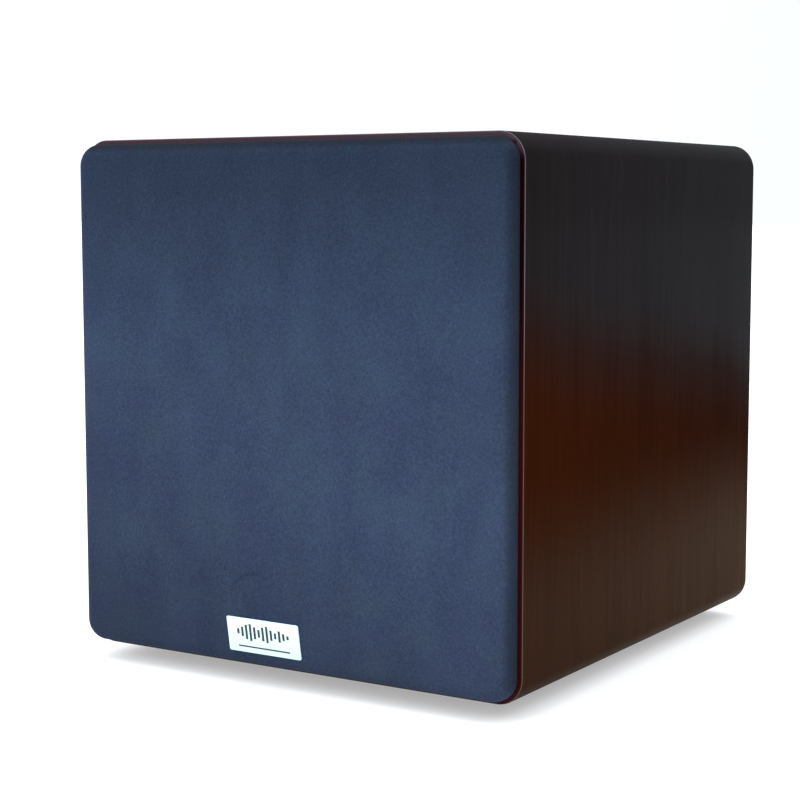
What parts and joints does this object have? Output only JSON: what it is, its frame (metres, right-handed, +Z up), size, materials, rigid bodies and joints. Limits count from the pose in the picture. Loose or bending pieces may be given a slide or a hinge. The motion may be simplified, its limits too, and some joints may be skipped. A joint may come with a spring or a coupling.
{
  "type": "active subwoofer",
  "caption": "Near-cubic lacquered wooden subwoofer cabinet with a pull-off cloth grille, a long-throw driver, a rear reflex port and an amplifier plate with controls.",
  "frame": {"origin": "on the floor, under the middle of the object's outside box", "axes": "+Z up; the grille faces -Y and the amplifier plate +Y; +X is to the right as seen from the front"},
  "size_m": [0.404, 0.461, 0.422],
  "materials": {
    "veneer": "dark red-brown mahogany veneer under high-gloss lacquer",
    "mdf": "raw MDF",
    "black_board": "MDF, painted matt black",
    "wadding": "white polyester wadding",
    "black_plastic": "fine-grained black ABS",
    "rubber": "matt black rubber",
    "coated_steel": "black powder-coated pressed steel",
    "foam": "closed-cell black foam tape",
    "spider_cloth": "resin-dipped yellow-brown cloth",
    "zinc_steel": "zinc-plated steel",
    "ferrite": "dark grey ferrite",
    "tinsel": "braided tinned copper",
    "cone_paper": "black coated paper pulp",
    "coil_former": "amber polyimide sheet",
    "copper": "enamelled copper wire",
    "grille_board": "MDF, painted matt black",
    "grille_cloth": "slate-blue knitted acoustic cloth",
    "badge": "pale anodised, satin",
    "amp_metal": "black anodised, fine satin",
    "circuit": "green glass-epoxy board with parts soldered on",
    "core_steel": "lacquered steel laminations",
    "led": "tinted clear green, unlit",
    "red_plastic": "red ABS",
    "glass": "clear tube with plated end caps",
    "red_wire": "red PVC insulation",
    "black_wire": "black PVC insulation"
  },
  "bodies": {
    "cabinet": {"veneer_wrap": "veneer", "top_panel": "mdf", "bottom_panel": "mdf", "left_panel": "mdf", "right_panel": "mdf", "window_brace": "mdf", "front_baffle": "black_board", "back_panel": "black_board", "wadding_pad": "wadding", "port_tube": "black_plastic", "terminal_strip": "black_plastic", "rca_block": "black_plastic", "clip_block": "black_plastic", "mains_module": "black_plastic", "foot_front_left": "rubber", "foot_front_right": "rubber", "foot_rear_left": "rubber", "foot_rear_right": "rubber", "surround": "rubber", "grille_cup_lower_left": "rubber", "grille_cup_lower_right": "rubber", "grille_cup_upper_left": "rubber", "grille_cup_upper_right": "rubber", "driver_basket": "coated_steel", "driver_gasket": "foam", "amp_gasket": "foam", "spider": "spider_cloth", "top_plate": "zinc_steel", "yoke": "zinc_steel", "volume_pot": "zinc_steel", "crossover_pot": "zinc_steel", "phase_switch_body": "zinc_steel", "magnet": "ferrite", "tinsel_lead_upper": "tinsel", "tinsel_lead_lower": "tinsel", "transformer_winding": "copper", "amp_plate": "amp_metal", "heatsink": "amp_metal", "amplifier_board": "circuit", "transformer_core": "core_steel", "status_led": "led", "speaker_wire_red": "red_wire", "speaker_wire_black": "black_wire"},
    "grille": {"grille_frame": "grille_board", "grille_cloth": "grille_cloth", "badge_plate": "badge"},
    "cone": {"cone": "cone_paper", "dust_cap": "cone_paper", "voice_coil_former": "coil_former", "voice_coil_winding": "copper"},
    "volume_knob": {"volume_knob": "black_plastic"},
    "crossover_knob": {"crossover_knob": "black_plastic"},
    "phase_slider": {"phase_slider": "black_plastic"},
    "power_rocker": {"power_rocker": "black_plastic"},
    "fuse_drawer": {"fuse_drawer": "black_plastic", "fuse": "glass"},
    "clip_lever_1": {"clip_lever_1": "red_plastic"},
    "clip_lever_2": {"clip_lever_2": "black_plastic"},
    "clip_lever_3": {"clip_lever_3": "red_plastic"},
    "clip_lever_4": {"clip_lever_4": "black_plastic"}
  },
  "joints": [
    {"name": "grille_pull", "type": "slide", "parent": "cabinet", "child": "grille", "axis": [0, -1, 0], "range_m": [0, 0.15]},
    {"name": "cone_stroke", "type": "slide", "parent": "cabinet", "child": "cone", "axis": [0, -1, 0], "range_m": [-0.008, 0.008], "stiffness_N_per_m": 4200, "deforming": ["surround", "spider", "tinsel_lead_upper", "tinsel_lead_lower"]},
    {"name": "volume_turn", "type": "hinge", "parent": "cabinet", "child": "volume_knob", "pos_m": [0.055, 0.2151, 0.356], "axis": [0, -1, 0], "range_deg": [-150, 150]},
    {"name": "crossover_turn", "type": "hinge", "parent": "cabinet", "child": "crossover_knob", "pos_m": [0.008, 0.2151, 0.356], "axis": [0, -1, 0], "range_deg": [-150, 150]},
    {"name": "phase_slide", "type": "slide", "parent": "cabinet", "child": "phase_slider", "axis": [1, 0, 0], "range_m": [0, 0.004]},
    {"name": "power_rock", "type": "hinge", "parent": "cabinet", "child": "power_rocker", "pos_m": [-0.018, 0.209, 0.183], "axis": [1, 0, 0], "range_deg": [0, 16]},
    {"name": "fuse_pull", "type": "slide", "parent": "cabinet", "child": "fuse_drawer", "axis": [0, 1, 0], "range_m": [0, 0.018]},
    {"name": "clip_press_1", "type": "hinge", "parent": "cabinet", "child": "clip_lever_1", "pos_m": [-0.052, 0.213, 0.3155], "axis": [-1, 0, 0], "range_deg": [0, 18], "stiffness_Nm_per_rad": 0.1, "springref_deg": -17.19},
    {"name": "clip_press_2", "type": "hinge", "parent": "cabinet", "child": "clip_lever_2", "pos_m": [-0.036, 0.213, 0.3155], "axis": [-1, 0, 0], "range_deg": [0, 18], "stiffness_Nm_per_rad": 0.1, "springref_deg": -17.19},
    {"name": "clip_press_3", "type": "hinge", "parent": "cabinet", "child": "clip_lever_3", "pos_m": [-0.02, 0.213, 0.3155], "axis": [-1, 0, 0], "range_deg": [0, 18], "stiffness_Nm_per_rad": 0.1, "springref_deg": -17.19},
    {"name": "clip_press_4", "type": "hinge", "parent": "cabinet", "child": "clip_lever_4", "pos_m": [-0.004, 0.213, 0.3155], "axis": [-1, 0, 0], "range_deg": [0, 18], "stiffness_Nm_per_rad": 0.1, "springref_deg": -17.19}
  ]
}
